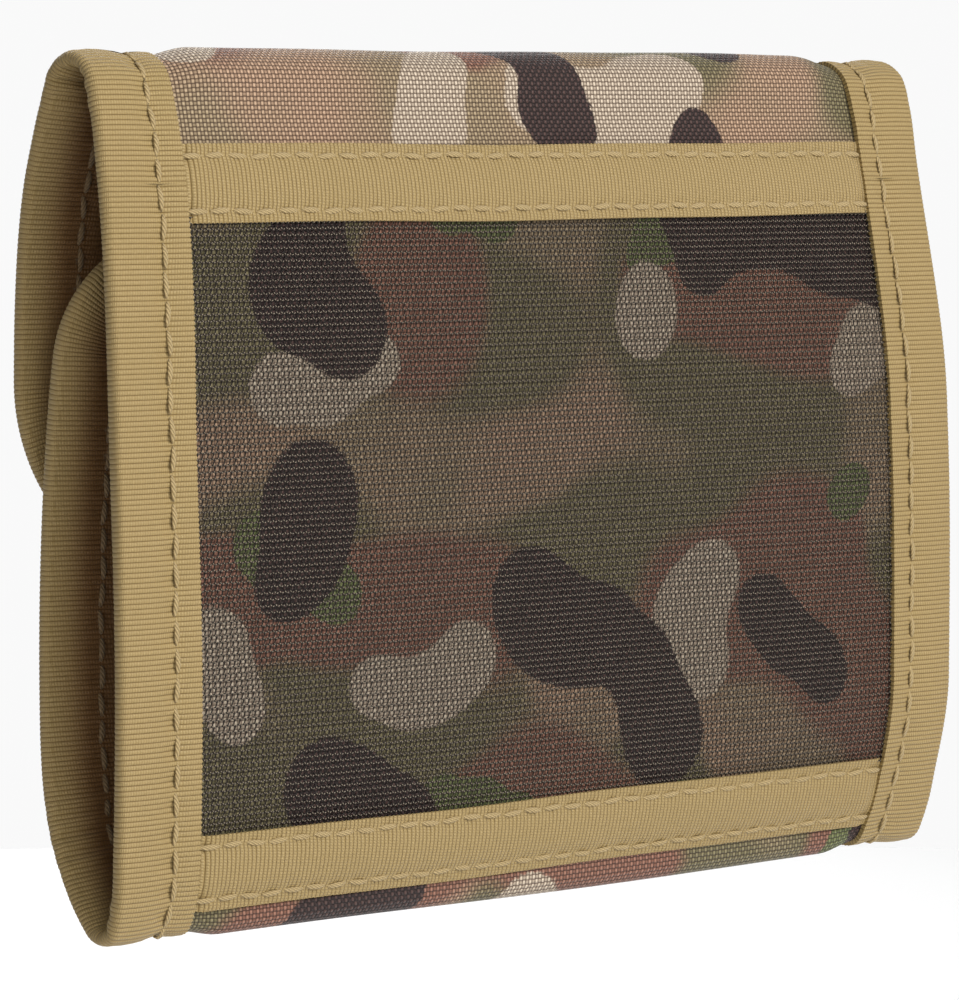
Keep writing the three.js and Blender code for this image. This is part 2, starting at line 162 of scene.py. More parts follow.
BOW = float(knots[:, 0].min() - CAD_LOW.y)      # the middle of the back stands out
BOW_FADES = [BOTTOM_FOLD, on_back(0.012), on_back(0.084), TOP_FOLD]
SWELL = 3.4 * MM                # and its right-hand end stands out further
FRONT_TOP = -3 * MM             # the front panel's free edge, just past the outline's start
PINCHED, PINCH_REACH = 0.46, 9.5 * MM       # share of the stack left at a bound edge


def from_edge(x, s):
    """How far in from the nearest bound edge a place on the wallet is, seen flat."""
    side = HALF - np.abs(x)
    near = side
    for edge, radius in ((s - FRONT_TOP, FRONT_CORNER), (END - s, FLAP_CORNER)):
        corner = (side < radius) & (edge < radius)
        round_in = radius - np.hypot(radius - side, radius - edge)
        near = np.minimum(near, np.where(corner, round_in, edge))
    return near


def pinch(away):
    """The layers are sewn down tightly inside their binding, so the stack thins there."""
    return PINCHED + (1 - PINCHED) * ease(away, 0, PINCH_REACH)


def wrap(x, s, depth):
    """Points given flat, across, along and below the outside, laid on the outline."""
    x, s, depth = np.broadcast_arrays(*(np.asarray(a, float) for a in (x, s, depth)))
    inside = np.clip(s, 0, END)
    y, z, ty, tz = (np.interp(inside, travel, a)
                    for a in (curve[:, 0], curve[:, 1], tangents[:, 0], tangents[:, 1]))
    bow = BOW * np.clip(1 - (x / HALF) ** 2, 0, 1) * ease(s, *BOW_FADES[:2])
    bow *= 1 - ease(s, *BOW_FADES[2:])
    bow += (SWELL * ease(x, -5 * MM, 62 * MM) * ease(s, BOTTOM_FOLD, BOTTOM_FOLD + 22 * MM)
            * (1 - ease(s, TOP_FOLD - 42 * MM, TOP_FOLD - 8 * MM)))
    over = s - inside
    return np.stack([x, y + ty * over + tz * depth - bow, z + tz * over - ty * depth], -1)


# Depth of each layer changes a little from the back to the folds and the panels.
BACK_STACK = {"cloth": 0.95, "lining": 3.1, "total": 4.3}
SPINE_STACK = {"cloth": 0.7, "lining": 2.0, "total": 3.2}
PANEL_STACK = {"cloth": 0.6, "lining": 2.75, "total": 3.95}
EASE = 4 * MM


def stack(what, s):
    back, spine, panel = (d[what] * MM for d in (BACK_STACK, SPINE_STACK, PANEL_STACK))
    depth = panel + (spine - panel) * ease(s, FRONT_FOLD - EASE, FRONT_FOLD + EASE / 2)
    depth += (back - spine) * ease(s, BOTTOM_FOLD - EASE / 2, BOTTOM_FOLD + EASE)
    depth += (spine - back) * ease(s, TOP_FOLD - EASE, TOP_FOLD + EASE / 2)
    return depth + (panel - spine) * ease(s, FLAP_FOLD - EASE / 2, FLAP_FOLD + EASE)


def slack(x, s, much=0.12 * MM):
    """Cloth never lies quite flat: a slow unevenness over a few centimetres, which the
    bindings hold down."""
    much = much * ease(from_edge(x, s), 10 * MM, 15 * MM)
    return much * (np.sin(x * 71 + s * 43 + 0.6) + 0.7 * np.sin(s * 118 - x * 37 + 2.1)
                   + 0.4 * np.sin(x * 205 + 1.3) * np.sin(s * 190))


# ---------------------------------------------------------------- shaders
class Wire:
    """One output of a shader's node, which takes arithmetic."""

    def __init__(self, shader, socket):
        self.shader, self.socket = shader, socket

    def math(self, operation, *values):
        return self.shader.add("Math", {"operation": operation}, dict(enumerate(values)))

    def __add__(self, other):
        return self.math("ADD", self, other)

    def __sub__(self, other):
        return self.math("SUBTRACT", self, other)

    def __rsub__(self, other):
        return self.math("SUBTRACT", other, self)

    def __mul__(self, other):
        return self.math("MULTIPLY", self, other)

    def __abs__(self):
        return self.math("ABSOLUTE", self)

    __radd__ = __add__
    __rmul__ = __mul__

    def sin(self):
        return self.math("SINE", self)

    def power(self, exponent):
        return self.math("POWER", self, exponent)

    def most(self, other):
        return self.math("MAXIMUM", self, other)

    def smooth(self, low, high, bottom=0.0, top=1.0):
        """Eases from bottom to top as the value goes from low to high."""
        return self.shader.add("MapRange", {"interpolation_type": "SMOOTHSTEP"}, {
            "Value": self, "From Min": low, "From Max": high, "To Min": bottom, "To Max": top})


class Shader:
    """A material built round one principled surface."""

    def __init__(self, name, **surface):
        self.material = bpy.data.materials.new(name)
        self.material.use_nodes = True
        self.tree = self.material.node_tree
        self.surface = self.tree.nodes["Principled BSDF"]
        self.set(**surface)

    def plug(self, node, key, value):
        socket = node.inputs[key] if isinstance(key, int) else next(
            s for s in node.inputs if key in (s.identifier, s.name))
        if isinstance(value, Wire):
            self.tree.links.new(value.socket, socket)
        elif socket.type == "RGBA":
            socket.default_value = (*value[:3], 1)
        else:
            socket.default_value = value

    def set(self, **sockets):
        for key, value in sockets.items():
            self.plug(self.surface, key.replace("_", " "), value)
        return self

    def add(self, kind, settings=None, values=None, out=None):
        node = self.tree.nodes.new("ShaderNode" + kind)
        for key, value in (settings or {}).items():
            setattr(node, key, value)
        for key, value in (values or {}).items():
            self.plug(node, key, value)
        if out is None:
            return Wire(self, node.outputs[0])
        return Wire(self, next(s for s in node.outputs if out in (s.identifier, s.name)))

    def uv(self):
        """Distances along and across the cloth, in metres."""
        flat = self.add("UVMap", {"uv_map": "UVMap"})
        parts = [self.add("SeparateXYZ", None, {"Vector": flat}, out) for out in "XY"]
        return flat, *parts

    def place(self):
        return self.add("TexCoord", out="Object")

    def attribute(self, name):
        return self.add("Attribute", {"attribute_name": name}, out="Fac")

    def noise(self, where, size, detail=2.0, roughness=0.5):
        """Noise from 0 to 1 whose features are about that size, in metres."""
        return self.add("TexNoise", None, {"Vector": where, "Scale": 1 / size,
                                           "Detail": detail, "Roughness": roughness}, "Fac")

    def colour(self, factor, first, second, how="MIX"):
        return self.add("Mix", {"data_type": "RGBA", "blend_type": how},
                        {"Factor_Float": factor, "A_Color": first, "B_Color": second},
                        "Result_Color")

    def stretched(self, where, along, across):
        return self.add("VectorMath", {"operation": "MULTIPLY"},
                        {0: where, 1: (along, across, 1.0)}, "Vector")

    def bump(self, height, distance, strength=1.0, normal=None):
        values = {"Strength": strength, "Distance": distance, "Height": height}
        if normal:
            values["Normal"] = normal
        return self.add("Bump", None, values, "Normal")


def plain_weave(u, v, pitch):
    """Height of a plain weave and how far each point is down in a crevice, both 0 to 1."""
    warp, weft = (u * (math.pi / pitch)).sin(), (v * (math.pi / pitch)).sin()
    over = (warp * weft).smooth(-0.25, 0.25)
    crown, fill = abs(warp), abs(weft)
    warp_top = crown.power(0.6) * (fill * 0.55 + 0.45)
    weft_top = fill.power(0.6) * (crown * 0.55 + 0.45)
    return warp_top * over + weft_top * (1 - over), over


TAN_TAPE = (0.344, 0.245, 0.096)
# Across the folded tape's width, where the painted shade of its inner leg fades in.
INNER_SHADE_START, INNER_SHADE_END = 14.5 * MM, 20 * MM      # of the folded tape, across its width


def tape_shader(name, base=TAN_TAPE):
    """Grosgrain: beaded ribs, with painted shade in the grooves between them and between the
    beads, painted highlights on the bead crowns, and some dust. The leg folded to the inside
    is painted darker and redder, as painted shade for the deep gap between the panels."""
    shader = Shader(name, IOR=1.45, Sheen_Weight=0.06, Sheen_Roughness=0.4)
    flat, u, v = shader.uv()
    rib = abs((u * (math.pi / RIB) + math.pi / 2).sin())
    bead = abs((v * (math.pi / BEAD) + u * 900).sin())
    yarn = shader.noise(shader.stretched(flat, 1 / (0.5 * MM), 1 / (0.2 * MM)), 1.0, 2)
    worn = shader.noise(flat, 14 * MM, 4, 0.6)
    height = rib.power(0.7) * (bead * 0.35 + 0.65) + yarn * 0.15
    # Painted shade for the grooves and between the beads, and painted highlights for the bead
    # crowns.
    dark = tuple(c * k for c, k in zip(base, (0.58, 0.49, 0.37)))
    pale = tuple(c * k for c, k in zip(base, (1.30, 1.32, 1.45)))
    shade = shader.colour(rib.smooth(0.02, 0.5), dark, base)
    shade = shader.colour((1 - bead) * 0.42, shade, dark)
    shade = shader.colour(yarn.smooth(0.45, 0.8) * rib * bead * 0.8, shade, pale)
    shade = shader.colour(worn.smooth(0.35, 0.75) * 0.35, shade,
                          tuple(c * k for c, k in zip(base, (0.84, 0.82, 0.76))))
    # Painted shade: the inner leg is made darker and redder for the deep gap between the panels.
    inner = shader.colour(1.0, shade, (0.42, 0.28, 0.19), "MULTIPLY")
    shade = shader.colour(v.smooth(INNER_SHADE_START, INNER_SHADE_END), shade, inner)
    shader.set(Base_Color=shade, Roughness=0.60 - bead * 0.14 + (worn - 0.5) * 0.1,
               Normal=shader.bump(height, 0.17 * MM))
    return shader.material


def print_shader():
    """Printed polyester: a plain weave with sheen, and a camouflage of soft and crisp blots."""
    shader = Shader("printed_fabric", IOR=1.45, Specular_IOR_Level=0.35, Sheen_Weight=0.04)
    flat, u, v = shader.uv()
    drift = shader.noise(flat, 26 * MM, 2)
    frayed = (shader.noise(flat, 2.2 * MM, 3) - 0.5) * 0.1
    dots = (shader.noise(flat, 0.5 * MM, 1) - 0.5) * 0.22

    def blot(name, soft, shape=frayed):
        field = shader.attribute(name) + shape + dots
        return field.smooth(0.5 - soft, 0.5 + soft)

    shade = shader.colour(drift.smooth(0.38, 0.62), (0.45, 0.30, 0.19), (0.355, 0.275, 0.16))
    shade = shader.colour(blot("olive", 0.32), shade, (0.19, 0.17, 0.078))
    shade = shader.colour(blot("brown", 0.22), shade, (0.27, 0.125, 0.078))
    shade = shader.colour(blot("green", 0.05), shade, (0.145, 0.18, 0.058))
    shade = shader.colour(blot("pale", 0.05), shade, (0.57, 0.48, 0.36))
    shade = shader.colour(blot("dark", 0.035), shade, (0.032, 0.014, 0.012))
    weave, over = plain_weave(u, v, WEAVE)
    yarn = shader.noise(shader.stretched(flat, 1 / (0.2 * MM), 1 / (1.2 * MM)), 1.0, 2)
    # Painted shade in the weave's crevices and on the weft floats, and painted highlights added
    # on the warp crowns.
    shade = shader.colour(1 - weave.smooth(0.2, 0.85), shade,
                          shader.colour(1.0, shade, (0.24, 0.19, 0.17), "MULTIPLY"))
    shade = shader.colour((1 - over) * 0.6, shade,
                          shader.colour(1.0, shade, (0.52, 0.45, 0.43), "MULTIPLY"))
    shade = shader.colour(over * weave, shade,
                          shader.colour(1.0, shade, (0.052, 0.031, 0.025), "ADD"))
    shader.set(Base_Color=shade, Roughness=0.58 - weave * 0.14 + yarn * 0.1,
               Normal=shader.bump(weave + yarn * 0.25, 0.2 * MM))
    return shader.material


def mesh_shader():
    """Sheer window mesh: fine glossy threads, one over the other, with open holes between."""
    shader = Shader("window_mesh", IOR=1.45)
    flat, u, v = shader.uv()
    waver = (shader.noise(flat, 11 * MM, 2) - 0.5) * 0.8
    cell_v = v * (math.pi / MESH_PITCH) + waver * 0.6
    cell_u = u * (math.pi / MESH_PITCH) + waver + cell_v * 0.1
    across = (cell_u + (cell_v * 2).sin() * 0.3).sin()
    along = (cell_v + (cell_u * 2).sin() * 0.3).sin()
    upright, level = 1 - abs(across), 1 - abs(along)
    hole = abs(across).smooth(0.38, 0.47) * abs(along).smooth(0.38, 0.47)
    glint = (upright * ((cell_v * 2 + 1.0).sin() * 0.5 + 0.5)).most(
        level * ((cell_u * 2 - 1.0).sin() * 0.5 + 0.5))
    patchy = shader.noise(flat, 4 * MM, 3)
    shade = shader.colour(glint.smooth(0.64, 0.97) * (patchy + 0.35), (0.010, 0.007, 0.005),
                          (0.38, 0.315, 0.24))
    shader.set(Base_Color=shade, Roughness=0.36 + patchy * 0.12, Alpha=1 - hole,
               Normal=shader.bump(glint, 0.15 * MM), Specular_IOR_Level=0.15)
    return shader.material


def woven_shader(name, base, pitch, roughness=0.7, relief=0.08 * MM, crevice_shade=0.55):
    """A plain woven cloth of one colour with painted shade in its weave's crevices, for the
    lining, the pockets and the zip's tapes.
    """
    shader = Shader(name, IOR=1.45, Sheen_Weight=0.08)
    flat, u, v = shader.uv()
    weave, _ = plain_weave(u, v, pitch)
    tone = shader.noise(flat, 12 * MM, 4, 0.6)
    shade = shader.colour(weave, tuple(c * crevice_shade for c in base), base)
    shade = shader.colour(tone.smooth(0.35, 0.7) * 0.3, shade, tuple(c * 0.72 for c in base))
    shader.set(Base_Color=shade, Roughness=roughness - weave * 0.1 + (tone - 0.5) * 0.1,
               Normal=shader.bump(weave, relief))
    return shader.material


def thread_shader(name, groove_shade, crown, soil):
    """Twisted sewing thread: painted shade in the grooves between its plies, their crowns, and
    some soil.
    """
    shader = Shader(name, IOR=1.45, Sheen_Weight=0.1)
    _, u, v = shader.uv()
    ply = ((u * 0.8 + v * 1.6) * (2 * math.pi / (0.5 * MM))).sin() * 0.5 + 0.5
    tone = shader.noise(shader.place(), 5 * MM, 2)
    # Painted shade: the grooves between the plies are given the darker colour.
    shade = shader.colour(ply, groove_shade, crown)
    shade = shader.colour(tone * 0.3, shade, soil)
    shader.set(Base_Color=shade, Roughness=0.55 + ply * 0.1, Normal=shader.bump(ply, 0.08 * MM))
    return shader.material


def pile_shader(name, base, size, relief):
    """Hook or loop tape: a field of tiny hooks, or a matted pile, with painted shade between the
    tufts.
    """
    shader = Shader(name, IOR=1.45, Sheen_Weight=0.25, Sheen_Roughness=0.6)
    flat, _, _ = shader.uv()
    tuft = shader.add("TexVoronoi", None, {"Vector": flat, "Scale": 1 / size}, "Distance")
    lie = shader.noise(flat, 3 * MM, 4, 0.7)
    shade = shader.colour(tuft.smooth(0.1, 0.7), base, tuple(c * 0.35 for c in base))
    shade = shader.colour(lie * 0.4, shade, tuple(min(1, c * 1.4) for c in base))
    shader.set(Base_Color=shade, Roughness=0.75 + lie * 0.15,
               Normal=shader.bump((1 - tuft) + lie * 0.4, relief))
    return shader.material


def foam_shader():
    shader = Shader("foam_board", Roughness=0.9)
    cell = shader.add("TexVoronoi", None, {"Vector": shader.place(), "Scale": 1 / (0.6 * MM)},
                      "Distance")
    tone = shader.noise(shader.place(), 10 * MM, 3)
    shade = shader.colour(cell, (0.10, 0.10, 0.10), (0.04, 0.04, 0.042))
    shader.set(Base_Color=shader.colour(tone * 0.4, shade, (0.14, 0.135, 0.13)),
               Roughness=0.85 + cell * 0.1, Normal=shader.bump(cell, 0.1 * MM))
    return shader.material


def coil_shader():
    shader = Shader("zip_coil", IOR=1.5)
    tone = shader.noise(shader.place(), 2 * MM, 3)
    shade = shader.colour(tone, (0.16, 0.105, 0.045), (0.26, 0.18, 0.085))
    shader.set(Base_Color=shade, Roughness=0.35 + tone * 0.15,
               Normal=shader.bump(tone, 0.03 * MM))
    return shader.material


def metal_shader():
    """Dark plated zinc, rubbed brighter in places."""
    shader = Shader("zip_metal", Metallic=1.0)
    rubbed = shader.noise(shader.place(), 3 * MM, 5, 0.65)
    grain = shader.noise(shader.place(), 0.3 * MM, 2)
    shade = shader.colour(rubbed.smooth(0.4, 0.7), (0.16, 0.13, 0.095), (0.42, 0.36, 0.27))
    shader.set(Base_Color=shade, Roughness=0.3 + rubbed * 0.25,
               Normal=shader.bump(grain + rubbed, 0.02 * MM))
    return shader.material


TAPE = tape_shader("binding_tape")
PRINT = print_shader()
MESH = mesh_shader()
THREAD = thread_shader("stitch_thread", (0.28, 0.195, 0.08), (0.47, 0.35, 0.16),
                       (0.33, 0.23, 0.11))
# A darker copy of the stitch thread: painted shade for the inner stitch rows deep in the gap
# between the panels.
SHADED_INNER_THREAD = thread_shader("shaded_inner_stitch_thread", (0.11, 0.065, 0.026), (0.21, 0.135, 0.058),
                             (0.12, 0.075, 0.033))
LINED = woven_shader("lining_fabric", (0.17, 0.105, 0.052), 0.3 * MM)
ZIP_TAPE = woven_shader("zip_tape", (0.23, 0.155, 0.07), 0.42 * MM, 0.75, 0.12 * MM, 0.4)
HOOKS = pile_shader("hook_tape", (0.22, 0.15, 0.07), 0.9 * MM, 0.5 * MM)
LOOPS = pile_shader("loop_tape", (0.30, 0.21, 0.10), 0.5 * MM, 0.35 * MM)
FOAM, COIL, METAL = foam_shader(), coil_shader(), metal_shader()


# ---------------------------------------------------------------- the printed pattern
# A generic camouflage of its own. Each colour is short chains of round blots, strewn evenly by
# a seeded draw: how many chains, the most links in one, and a blot's usual radius in mm.
CHAINS = {"dark": (20, 8, 5.0), "pale": (22, 5, 4.3), "brown": (26, 4, 7.5),
          "olive": (34, 4, 8.5), "green": (16, 4, 3.2)}
PRINT_DRAW = 19
SPREAD = 0.7549, 0.5698         # steps that spread any number of places evenly over a square
LINK_ACROSS, LINK_ALONG = 1.4, 0.9      # from one blot of a chain to the next, in radii
BLOT_SHARPNESS = 1.4


def strewn_blots():
    """Every blot of the print on the flat cloth, by colour: across, along and radius."""
    chance = np.random.default_rng(PRINT_DRAW)
    out = {}
    for colour, (chains, links, size) in CHAINS.items():
        places, shift = [], chance.random(2)
        for chain in range(chains):
            x, s = (shift + (SPREAD[0] * chain, SPREAD[1] * chain)) % 1
            x, s = (2 * x - 1) * HALF, FRONT_TOP + s * (END - FRONT_TOP)
            turn = chance.uniform(0, 2 * math.pi)
            for _ in range(chance.integers(links // 2, links + 1)):
                radius = size * MM * chance.uniform(0.6, 1.3)
                places.append((x, s, radius))
                turn += chance.uniform(-1.1, 1.1)
                x += math.cos(turn) * radius * LINK_ACROSS
                s += math.sin(turn) * radius * LINK_ALONG
        out[colour] = places
    return out


PRINT_BLOTS = strewn_blots()


def print_pattern(piece, x, s):
    """Stores how strongly each colour of the print shows at each point of the cloth."""
    for colour, blots in PRINT_BLOTS.items():
        field = np.zeros(len(x))
        for bx, bs, radius in blots:
            away = ((x - bx) ** 2 + (s - bs) ** 2) / radius**2
            field += 0.5 ** (away ** BLOT_SHARPNESS)
        store = piece.data.attributes.new(colour, "FLOAT", "POINT")
        store.data.foreach_set("value", np.minimum(field, 2).astype(np.float32))


# ---------------------------------------------------------------- cutting and laying cloth
def deselect():
    if bpy.context.object and bpy.context.object.mode != "OBJECT":
        bpy.ops.object.mode_set(mode="OBJECT")
    bpy.ops.object.select_all(action="DESELECT")


def coordinates(piece):
    out = np.empty(len(piece.data.vertices) * 3, np.float32)
    piece.data.vertices.foreach_get("co", out)
    return out.reshape(-1, 3).astype(float)


def cut_strip(name, columns, rows):
    """A flat strip of cloth with that many faces across and along, one unit square."""
    deselect()
    bpy.ops.mesh.primitive_grid_add(x_subdivisions=columns, y_subdivisions=rows, size=1)
    piece = bpy.context.object
    piece.name = piece.data.name = name
    flat = coordinates(piece)
    return piece, flat[:, 0] + 0.5, flat[:, 1] + 0.5


def lay(piece, points, u, v):
    """Moves the cut piece's points to their places and maps its cloth, u and v in metres."""
    mesh = piece.data
    mesh.vertices.foreach_set("co", np.asarray(points, np.float32).ravel())
    layer = mesh.uv_layers.active or mesh.uv_layers.new(name="UVMap")
    corner = np.empty(len(mesh.loops), np.int32)
    mesh.loops.foreach_get("vertex_index", corner)
    layer.data.foreach_set("uv", np.stack([u, v], -1)[corner].astype(np.float32).ravel())
    mesh.update()
    return piece


def outward_at(y, z):
    ty, tz = tangents[np.argmin((curve[:, 0] - y) ** 2 + (curve[:, 1] - z) ** 2)]
    return Vector((0, -tz, ty))


def face_outward(piece, polygon):
    """Turns the piece so that this polygon of it looks away from the stack of layers."""
    if polygon.normal.dot(outward_at(*polygon.center[1:])) < 0:
        piece.data.flip_normals()


def apply_modifier(piece, kind, **settings):
    deselect()
    piece.select_set(True)
    bpy.context.view_layer.objects.active = piece
    modifier = piece.modifiers.new(kind.title(), kind)
    for key, value in settings.items():
        setattr(modifier, key, value)
    bpy.ops.object.modifier_apply(modifier=modifier.name)


def smooth(piece, degrees=40):
    deselect()
    piece.select_set(True)
    bpy.context.view_layer.objects.active = piece
    bpy.ops.object.shade_smooth_by_angle(angle=math.radians(degrees))


def round_corners(x, s, half, edge, radius, direction):
    """Pulls a rectangular cloth's two far corners in to a radius, seen flat."""
    reach = radius - (edge - s) * direction
    side = np.abs(x) - (half - radius)
    inside = (reach > 0) & (side > 0)
    length = np.hypot(np.maximum(reach, 0), np.maximum(side, 0))
    pull = np.maximum(reach, side) / np.maximum(length, 1e-9)
    new_x = np.where(inside, np.sign(x) * (half - radius + side * pull), x)
    new_s = np.where(inside, edge - direction * (radius - reach * pull), s)
    return new_x, new_s


def cloth(name, half, start, stop, depth, thickness, material, step=1.6 * MM, corner=None,
          printed=False, soft=True):
    """A sheet of cloth across the wallet, between two distances along the outline. Its
    depth is a number or a function of the two; soft is not used."""
    columns = round(2 * half / step)
    rows = max(2, round((stop - start) / step))
    piece, u, v = cut_strip(name, columns, rows)
    x, s = (u - 0.5) * 2 * half, start + v * (stop - start)
    if corner:
        x, s = round_corners(x, s, half, *corner)
    below = depth(x, s) if callable(depth) else depth
    points = wrap(x, s, below * pinch(from_edge(x, s)) + slack(x, s))
    lay(piece, points, x, s)
    face_outward(piece, piece.data.polygons[len(piece.data.polygons) // 2 + columns // 2])
    if printed:
        print_pattern(piece, x, s)
    piece.data.materials.append(material)
    if thickness:
        apply_modifier(piece, "SOLIDIFY", thickness=thickness, offset=-1)
    smooth(piece)
    if soft and stop - start >= 10 * MM:
        stop - start
    return piece


HINGES = {"front_fold": ("front", "bottom_spine", FRONT_FOLD),
          "bottom_fold": ("bottom_spine", "back", BOTTOM_FOLD),
          "top_fold": ("back", "top_spine", TOP_FOLD),
          "flap_fold": ("top_spine", "flap", FLAP_FOLD)}


def join_frame(piece, slot, where, *nodes):
    """Makes a piece ride a body in the place of its CAD nodes, which it hides. A piece at a
    fold rides no body and stays where it lies.
    """
    if where in HINGES:
        first, second, s = HINGES[where]
        start, end = wrap(HALF, np.array([s - EASE, s + EASE]), stack("total", s) / 2)
        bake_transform(piece)
    else:
        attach(piece, where)
    if nodes:
        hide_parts(*nodes)
    return piece


# ---------------------------------------------------------------- binding tape and stitches
def u_route(s_fold, s_edge, radius):
    """A panel's bound edge, seen flat: down its left side from a fold, along the free edge
    and up the right side. Gives the length, and places and inward directions along it."""
    direction = 1 if s_edge > s_fold else -1
    side = abs(s_edge - s_fold) - radius
    arc = radius * math.pi / 2
    length = 2 * (side + arc + HALF - radius)

    def place(u):
        first = np.minimum(u, length - u)
        hand = np.where(u < length / 2, 1.0, -1.0)
        turn = np.clip((first - side) / radius, 0, math.pi / 2)
        past = np.clip(first - side - arc, 0, None)
        x = past - (HALF - radius + radius * np.cos(turn))
        s = np.clip(first, None, side) + radius * np.sin(turn)
        inward = np.stack([hand * np.cos(turn), -direction * np.sin(turn)], -1)
        return hand * x, s_fold + direction * s, inward

    return length, place


def side_route(hand, start, stop):
    """A bound edge straight along one side, hand -1 on the left and 1 on the right."""
    def place(u):
        return (np.full_like(u, hand * HALF), start + u,
                np.stack([np.full_like(u, -hand), np.zeros_like(u)], -1))

    return stop - start, place


def cross_route(half, s, hand=1.0):
    """A line straight across the wallet at one distance along the outline."""
    def place(u):
        return (u - half, np.full_like(u, s),
                np.stack([np.zeros_like(u), np.full_like(u, hand)], -1))

    return 2 * half, place


# A tape's section, row by row: distance in from the bound edge and sink below the outside.
LEG = np.array([[11, 0.78], [11, 0.12], [9.9, 0.1], [8.7, 0.18], [7.6, 0.36], [6.5, 0.16],
                [5.2, 0.02], [3.9, -0.08], [2.6, -0.1], [1.6, -0.02]]) * MM
TURN_ROWS = 11
INNER_SHORT = 0.8 * MM


def folded_section(total=4.1 * MM):
    """The binding's section round an edge: in, share of the stack's depth, and sink."""
    turn = np.linspace(0, math.pi, TURN_ROWS)
    round_in = total * 0.21 * (1 - np.sin(turn))
    inner = LEG[::-1] * (1, -1) - (INNER_SHORT, 0)
    return (np.concatenate([LEG[:, 0], round_in, inner[:, 0]]),
            np.concatenate([np.zeros(len(LEG)), (1 - np.cos(turn)) / 2, np.ones(len(LEG))]),
            np.concatenate([LEG[:, 1], 0 * turn, inner[:, 1]]))


def flat_section(width, thick, stitch_in):
    """A flat tape's section: square selvedges, and two stitch rows that pull it down."""
    half = np.array([[0, thick], [0, 0.08], [stitch_in - 0.75, 0.03], [stitch_in, 0.2],
                     [stitch_in + 0.75, 0.0], [stitch_in + 1.8, -0.06], [width / 2, -0.08]])
    other = half[-2::-1] * (-1, 1) + (width, 0)
    rows = np.concatenate([half, other]) * MM
    return rows[:, 0], np.zeros(len(rows)), rows[:, 1]


def ribbon(name, route, section, dips, base=0.0, tuck=0.0, facing=1):
    """Grosgrain laid along a route: ribs, selvedges and the dimples that its stitches pull.
    Facing is 1 where it lies on the outside, and -1 on the inside."""
    length, place = route
    away_row, share, sink = section
    rows, columns = len(share) - 1, 2 * round(length / RIB)
    piece, u, v = cut_strip(name, columns, rows)
    row, column = np.rint(v * rows).astype(int), np.rint(u * columns).astype(int)
    run = u * length
    x, s, inward = place(run)
    rib = np.where(column % 2 == 0, 1.0, -1.0)
    turned = share[row]
    side, face = np.sin(math.pi * turned), np.cos(math.pi * turned)
    away = away_row[row]
    gather = sum(np.exp(-((away - dip) / (1.0 * MM)) ** 2) for dip in dips)
    gather = gather * (0.5 - 0.5 * np.cos(2 * math.pi * run / STITCH_PITCH))
    along = x + s
    raised = rib * 0.03 * MM - gather * 0.19 * MM + 0.05 * MM * np.sin(along * 97 + away * 400)
    edge = (row < 2) | (row > rows - 2)
    sway = 0.12 * MM * np.sin(along * 61 + 1.0) + 0.07 * MM * np.sin(along * 152)
    away = away + np.where(edge, rib * 0.06 * MM, 0) + sway * (1 - side) - rib * side * 0.03 * MM
    thick = stack("total", s) * pinch(away)
    ends = ease(np.abs(run - length / 2), length / 2 - 2.2 * MM, length / 2 - 0.8 * MM)
    near = sum(1 - ease(np.abs(s - at), 1.5 * MM, 8 * MM)
               for at in (FRONT_FOLD, BOTTOM_FOLD, TOP_FOLD, FLAP_FOLD))
    thick = thick + 0.17 * MM * np.minimum(near, 1) * (1 + np.sin(along * 2500 + away * 300))
    depth = base + turned * thick + facing * (sink[row] - raised * face + tuck * ends)
    lay(piece, wrap(x + inward[:, 0] * away, s + inward[:, 1] * away, depth), column * RIB / 2,
        np.cumsum(np.hypot(np.diff(away_row, prepend=away_row[0]),
                           np.diff(share * 4.1 * MM, prepend=0)))[row])
    face_outward(piece, next(p for p in piece.data.polygons
                             if all(row[i] in (3, 4) for i in p.vertices)))
    if facing < 0:
        piece.data.flip_normals()
    piece.data.materials.append(TAPE)
    smooth(piece, 75)
    return piece


def copies(name, route, pitch, size, inset, level, material, dip=0.3 * MM, facing=1, lean=0.09,
           loose=False):
    """One small rounded shape, copied along a route on a surface at that depth: stitches
    that dip into the cloth at their ends, or the turns of a zip's coil. Where the cloth is
    loose, they follow its unevenness."""
    length, place = route
    deselect()
    bpy.ops.mesh.primitive_uv_sphere_add(segments=8, ring_count=5, radius=1,
                                         rotation=(0, math.pi / 2, 0))
    piece = bpy.context.object
    piece.name = piece.data.name = name
    bpy.ops.transform.resize(value=size)
    bpy.ops.object.transform_apply(location=True, rotation=True, scale=True)
    count = max(1, round(length / pitch))
    pitch = length / count
    apply_modifier(piece, "ARRAY", count=count, use_relative_offset=False,
                   use_constant_offset=True, constant_offset_displace=(pitch, 0, 0))
    flat = coordinates(piece)
    index = np.rint(flat[:, 0] / pitch)
    local = flat[:, 0] - index * pitch
    run = flat[:, 0] + pitch / 2
    across = flat[:, 1] + local * lean * np.sin(index * 2.4) + lean * MM * np.sin(index * 1.7)
    up = flat[:, 2] - dip * (local / (pitch / 2)) ** 2
    x, s, inward = place(run)
    away = inset + across
    below = level(s, away) if callable(level) else level
    if loose:
        below = below + slack(x + inward[:, 0] * away, s + inward[:, 1] * away)
    lay(piece, wrap(x + inward[:, 0] * away, s + inward[:, 1] * away, below - facing * up),
        local, flat[:, 1])
    piece.data.materials.append(material)
    smooth(piece, 80)
    return piece


def stitches(name, route, inset, level, facing=1, gauge=1.0, loose=False, thread=THREAD):
    size = (STITCH_PITCH * 0.48, 0.36 * MM * gauge, 0.22 * MM * gauge)
    return copies(name, route, STITCH_PITCH, size, inset, level, thread, facing=facing,
                  loose=loose)


def inner_leg(s, away):
    return stack("total", s) * pinch(away) - 0.14 * MM


# ---------------------------------------------------------------- the outer cloth
SEAM = on_back(0.0855)          # two pieces of cloth meet here, hidden by the upper tape
CLOTH_HALF = HALF - 0.8 * MM
PANEL_EDGE = 0.8 * MM


FULLNESS, UNDER_BINDING = 1.2 * MM, 0.3 * MM


